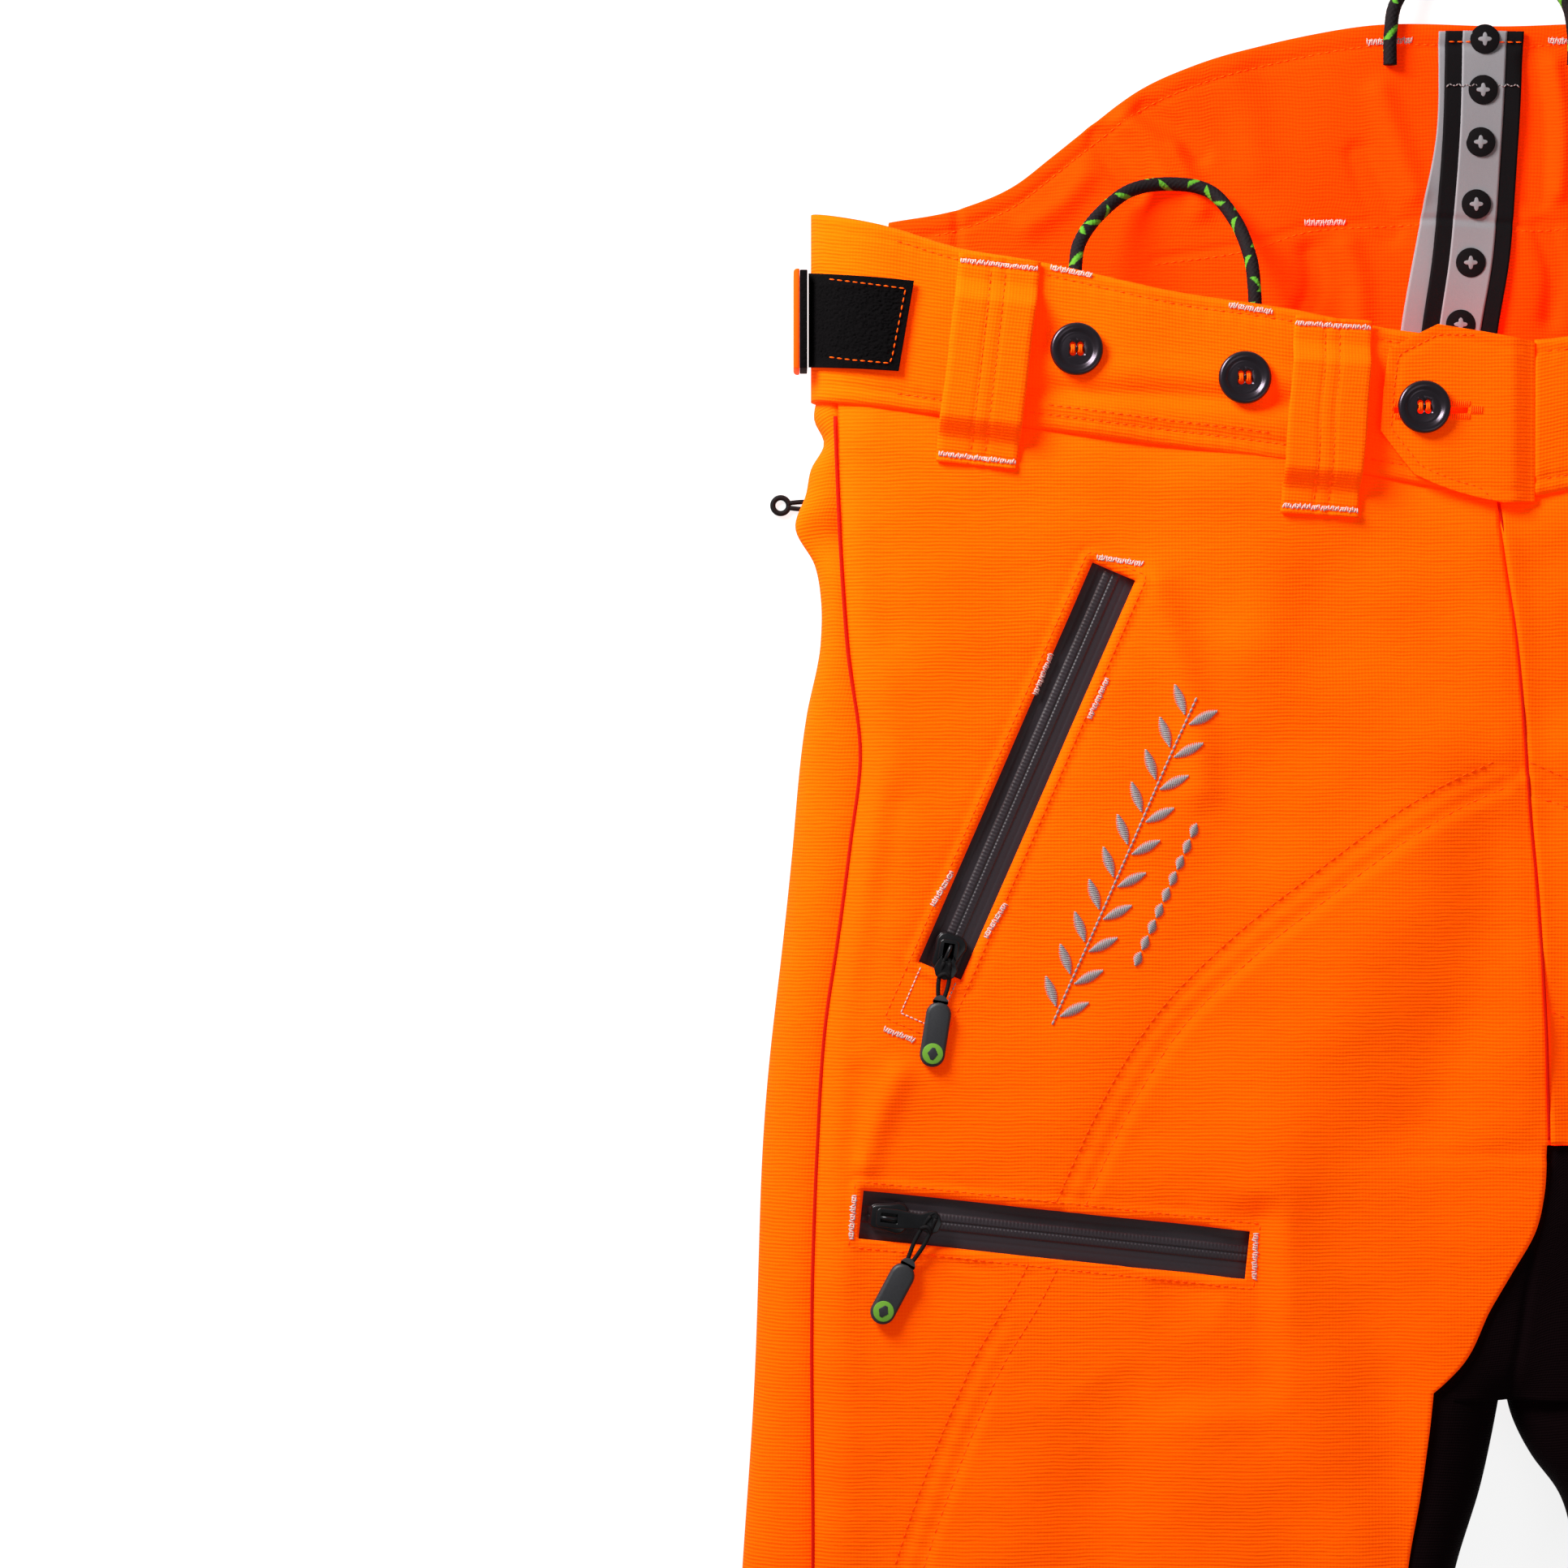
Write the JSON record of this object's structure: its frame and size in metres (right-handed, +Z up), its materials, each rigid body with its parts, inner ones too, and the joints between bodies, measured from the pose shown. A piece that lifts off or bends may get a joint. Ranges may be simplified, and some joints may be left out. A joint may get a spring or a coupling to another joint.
{
  "type": "chainsaw trousers",
  "caption": "High-back protective trousers lying flat, with zipped hand, thigh and rear pockets, belt loops, brace buttons and loops, and stretch inner legs",
  "frame": {"origin": "centre of the bounding box of the garment without its brace cords, at the floor that it lies on", "axes": "+Y runs from the hems to the waist, +Z is up off the floor towards the front of the garment, and +X is the wearer's left"},
  "size_m": [0.582, 1.2371, 0.0491],
  "materials": {
    "orange_cloth": "fluorescent orange stretch weave, fine cross rib, matt",
    "orange_facing": "deeper fluorescent orange inner face, matt",
    "black_stretch": "black stretch weave, matt",
    "button_metal": "dark gunmetal, polished",
    "loop_pile": "black looped pile",
    "brace_cord": "black braided cord with light green flecks",
    "ribbon": "grey woven ribbon with black edges",
    "pad_fibre": "white quilted protective fibre",
    "elastic": "white ribbed elastic",
    "pocket_cloth": "dark grey pocket cloth",
    "zip_tape": "black coated reversed coil tape",
    "zip_slider": "black painted, semi gloss",
    "pull_grip": "dark grey moulded rubber, satin",
    "pull_cord": "black braided cord"
  },
  "bodies": {
    "trousers": {"front_panel_right": "orange_cloth", "front_panel_left": "orange_cloth", "back_panel_right": "orange_cloth", "back_panel_left": "orange_cloth", "back_panel_side_right": "orange_cloth", "back_panel_side_left": "orange_cloth", "waistband_right": "orange_cloth", "waistband_left": "orange_cloth", "back_rise_outer": "orange_cloth", "belt_loop_side_right": "orange_cloth", "belt_loop_side_left": "orange_cloth", "belt_loop_front_right": "orange_cloth", "belt_loop_front_left": "orange_cloth", "back_rise_facing": "orange_facing", "inner_leg_panel_right": "black_stretch", "inner_leg_panel_left": "black_stretch", "crotch_gusset": "black_stretch", "brace_button_outer_right": "button_metal", "brace_button_outer_left": "button_metal", "brace_button_inner_right": "button_metal", "brace_button_inner_left": "button_metal", "waist_button": "button_metal", "loop_patch_right": "loop_pile", "loop_patch_left": "loop_pile", "brace_cord_right": "brace_cord", "brace_cord_left": "brace_cord", "brace_cord_back": "brace_cord", "hanger_ribbon": "ribbon", "protection_pad_right": "pad_fibre", "protection_pad_left": "pad_fibre", "back_elastic": "elastic", "hand_pocket_bag_right": "pocket_cloth", "hand_pocket_bag_left": "pocket_cloth", "thigh_pocket_bag_right": "pocket_cloth", "thigh_pocket_bag_left": "pocket_cloth", "hand_zip_tape_right": "zip_tape", "hand_zip_tape_left": "zip_tape", "thigh_zip_tape_right": "zip_tape", "thigh_zip_tape_left": "zip_tape", "rear_zip_tape_right": "zip_tape", "rear_zip_tape_left": "zip_tape", "fly_zip_tape": "zip_tape"},
    "hand_slider_right": {"hand_zip_slider_right": "zip_slider"},
    "hand_pull_right": {"hand_zip_pull_right": "pull_grip"},
    "thigh_slider_right": {"thigh_zip_slider_right": "zip_slider"},
    "thigh_pull_right": {"thigh_zip_pull_right": "pull_grip"},
    "rear_slider_right": {"rear_zip_slider_right": "zip_slider", "rear_zip_pull_right": "pull_cord"},
    "hook_flap_right": {"hook_tab_right": "orange_cloth"},
    "hand_slider_left": {"hand_zip_slider_left": "zip_slider"},
    "hand_pull_left": {"hand_zip_pull_left": "pull_grip"},
    "thigh_slider_left": {"thigh_zip_slider_left": "zip_slider"},
    "thigh_pull_left": {"thigh_zip_pull_left": "pull_grip"},
    "rear_slider_left": {"rear_zip_slider_left": "zip_slider", "rear_zip_pull_left": "pull_cord"},
    "hook_flap_left": {"hook_tab_left": "orange_cloth"},
    "fly_slider": {"fly_zip_slider": "zip_slider"},
    "fly_pull": {"fly_zip_pull": "zip_slider"},
    "tab_flap": {"waist_tab": "orange_cloth"}
  },
  "joints": [
    {"name": "hand_zip_right", "type": "slide", "parent": "trousers", "child": "hand_slider_right", "axis": [0.3993, 0.9168, 0], "range_m": [0, 0.13]},
    {"name": "hand_pull_right", "type": "hinge", "parent": "hand_slider_right", "child": "hand_pull_right", "pos_m": [-0.20056, 0.26961, 0.0422], "axis": [-0.988, 0.1546, 0], "range_deg": [0, 150]},
    {"name": "thigh_zip_right", "type": "slide", "parent": "trousers", "child": "thigh_slider_right", "axis": [0.9945, -0.1051, 0], "range_m": [0, 0.117]},
    {"name": "thigh_pull_right", "type": "hinge", "parent": "thigh_slider_right", "child": "thigh_pull_right", "pos_m": [-0.22589, 0.17163, 0.0422], "axis": [-0.4226, -0.9063, 0], "range_deg": [0, 150]},
    {"name": "rear_zip_right", "type": "slide", "parent": "trousers", "child": "rear_slider_right", "axis": [1, 0, 0], "range_m": [0, 0.118]},
    {"name": "hook_tab_right", "type": "hinge", "parent": "trousers", "child": "hook_flap_right", "pos_m": [-0.256, 0.493, 0.009], "axis": [0, -1, 0], "range_deg": [0, 80]},
    {"name": "hand_zip_left", "type": "slide", "parent": "trousers", "child": "hand_slider_left", "axis": [-0.3993, 0.9168, 0], "range_m": [0, 0.13]},
    {"name": "hand_pull_left", "type": "hinge", "parent": "hand_slider_left", "child": "hand_pull_left", "pos_m": [0.20056, 0.26961, 0.0422], "axis": [-0.988, -0.1546, 0], "range_deg": [0, 150]},
    {"name": "thigh_zip_left", "type": "slide", "parent": "trousers", "child": "thigh_slider_left", "axis": [-0.9945, -0.1051, 0], "range_m": [0, 0.117]},
    {"name": "thigh_pull_left", "type": "hinge", "parent": "thigh_slider_left", "child": "thigh_pull_left", "pos_m": [0.22589, 0.17163, 0.0422], "axis": [-0.4226, 0.9063, 0], "range_deg": [0, 150]},
    {"name": "rear_zip_left", "type": "slide", "parent": "trousers", "child": "rear_slider_left", "axis": [-1, 0, 0], "range_m": [0, 0.118]},
    {"name": "hook_tab_left", "type": "hinge", "parent": "trousers", "child": "hook_flap_left", "pos_m": [0.256, 0.493, 0.009], "axis": [0, 1, 0], "range_deg": [0, 80]},
    {"name": "fly_zip", "type": "slide", "parent": "trousers", "child": "fly_slider", "axis": [0, -1, 0], "range_m": [0, 0.14]},
    {"name": "fly_pull", "type": "hinge", "parent": "fly_slider", "child": "fly_pull", "pos_m": [0.026, 0.41065, 0.0318], "axis": [-1, 0, 0], "range_deg": [0, 10]},
    {"name": "tab_fold", "type": "hinge", "parent": "trousers", "child": "tab_flap", "pos_m": [0.0082, 0.455, 0.04305], "axis": [0, 1, 0], "range_deg": [0, 150]}
  ]
}
